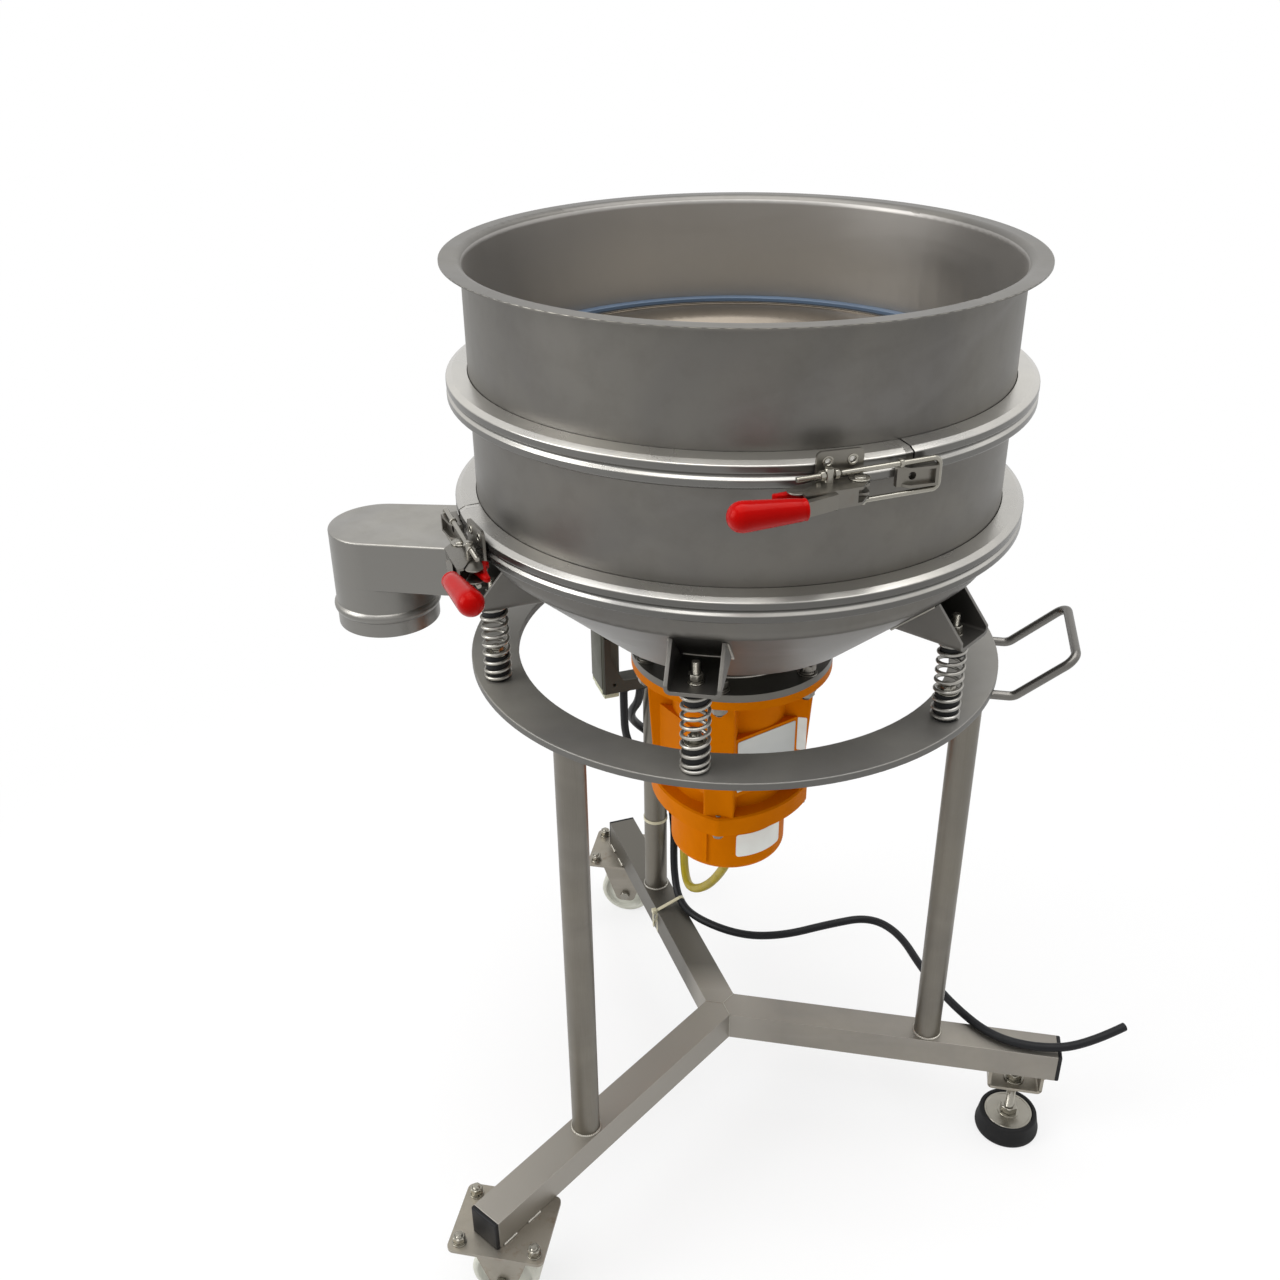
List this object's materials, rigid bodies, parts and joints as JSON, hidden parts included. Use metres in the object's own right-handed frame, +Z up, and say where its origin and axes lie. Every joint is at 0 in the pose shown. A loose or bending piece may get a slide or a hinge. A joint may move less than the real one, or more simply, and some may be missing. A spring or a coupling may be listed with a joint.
{
  "type": "vibrating screen",
  "caption": "Round vibratory screen with an open hopper, clamp bands, a side outlet duct and a vertical motor, on springs over a mobile three-armed stand with a levelling foot.",
  "frame": {"origin": "centre of the footprint without the cords, on the floor under the wheels and the levelling foot", "axes": "+Z up, +Y away from the side the picture was taken from, +X towards the levelling foot and the push handle; the outlet duct points to -X"},
  "size_m": [0.9782, 0.803, 1.145],
  "materials": {
    "satin_steel": "bead-blasted stainless steel",
    "polished_steel": "rolled stainless steel, finely brushed",
    "screen_steel": "fine woven wire on a flat steel ring",
    "blue_seal": "smooth silicone",
    "motor_paint": "orange enamel",
    "spring_steel": "bright drawn wire",
    "bright_steel": "bright turned steel",
    "clamp_steel": "pressed stainless steel",
    "plated_steel": "pressed stainless steel",
    "red_grip": "dipped soft vinyl",
    "black_rubber": "moulded rubber",
    "black_plastic": "moulded",
    "white_wheel": "cast nylon",
    "box_plastic": "moulded grey housing",
    "black_cord": "rubber-sheathed",
    "yellow_cord": "plastic-sheathed"
  },
  "bodies": {
    "machine": {"upper_hopper": "satin_steel", "mid_deck": "satin_steel", "bottom_pan": "satin_steel", "screen_ring": "screen_steel", "screen_seal": "blue_seal", "screen_mesh": "screen_steel", "upper_band": "polished_steel", "lower_band": "polished_steel", "discharge_duct": "satin_steel", "outlet_spigot": "satin_steel", "adapter_plate": "satin_steel", "motor_body": "motor_paint", "motor_cover": "motor_paint", "coil_springs": "spring_steel", "spring_brackets": "satin_steel", "spring_buffers": "black_rubber", "spring_studs": "bright_steel", "ring_plate": "satin_steel", "legs": "satin_steel", "base_frame": "satin_steel", "end_caps": "black_plastic", "push_handle": "satin_steel", "caster_forks": "plated_steel", "caster_axles": "bright_steel", "foot_bracket": "plated_steel", "foot_stud": "bright_steel", "foot_pad": "black_rubber", "foot_disc": "bright_steel", "clamp_bases": "clamp_steel", "switch_box": "box_plastic", "box_bracket": "plated_steel", "supply_cord": "black_cord", "motor_cord": "yellow_cord"},
    "front_wheel": {"front_wheel": "white_wheel"},
    "rear_wheel": {"rear_wheel": "white_wheel"},
    "upper_clamp": {"upper_clamp_handle": "clamp_steel", "upper_clamp_grip": "red_grip"},
    "upper_rods": {"upper_clamp_rods": "clamp_steel"},
    "lower_clamp": {"lower_clamp_handle": "clamp_steel", "lower_clamp_grip": "red_grip"},
    "lower_rods": {"lower_clamp_rods": "clamp_steel"},
    "rear_clamp": {"rear_clamp_handle": "clamp_steel", "rear_clamp_grip": "red_grip"},
    "rear_rods": {"rear_clamp_rods": "clamp_steel"}
  },
  "joints": [
    {"name": "front_wheel_spin", "type": "hinge", "parent": "machine", "child": "front_wheel", "pos_m": [-0.23308, -0.34992, 0.04], "axis": [0.1201, 0.9928, 0], "continuous": true},
    {"name": "rear_wheel_spin", "type": "hinge", "parent": "machine", "child": "rear_wheel", "pos_m": [-0.14839, 0.34992, 0.04], "axis": [0.1201, 0.9928, 0], "continuous": true},
    {"name": "upper_clamp_turn", "type": "hinge", "parent": "machine", "child": "upper_clamp", "pos_m": [0.1128, -0.31926, 1.013], "axis": [0, 0, 1], "range_deg": [0, 90]},
    {"name": "upper_rods_turn", "type": "hinge", "parent": "upper_clamp", "child": "upper_rods", "pos_m": [0.08728, -0.32805, 1.013], "axis": [0, 0, 1], "range_deg": [-90, 0]},
    {"name": "lower_clamp_turn", "type": "hinge", "parent": "machine", "child": "lower_clamp", "pos_m": [-0.25597, -0.18504, 0.886], "axis": [0, 0, -1], "range_deg": [0, 90]},
    {"name": "lower_rods_turn", "type": "hinge", "parent": "lower_clamp", "child": "lower_rods", "pos_m": [-0.24207, -0.20818, 0.886], "axis": [0, 0, -1], "range_deg": [-90, 0]},
    {"name": "rear_clamp_turn", "type": "hinge", "parent": "machine", "child": "rear_clamp", "pos_m": [0.27856, 0.13614, 0.886], "axis": [0, 0, -1], "range_deg": [0, 90]},
    {"name": "rear_rods_turn", "type": "hinge", "parent": "rear_clamp", "child": "rear_rods", "pos_m": [0.26465, 0.15929, 0.886], "axis": [0, 0, -1], "range_deg": [-90, 0]}
  ],
  "couplings": [
    {"joint": "upper_rods_turn", "follows": "upper_clamp_turn", "ratio": -1},
    {"joint": "lower_rods_turn", "follows": "lower_clamp_turn", "ratio": -1},
    {"joint": "rear_rods_turn", "follows": "rear_clamp_turn", "ratio": -1}
  ]
}
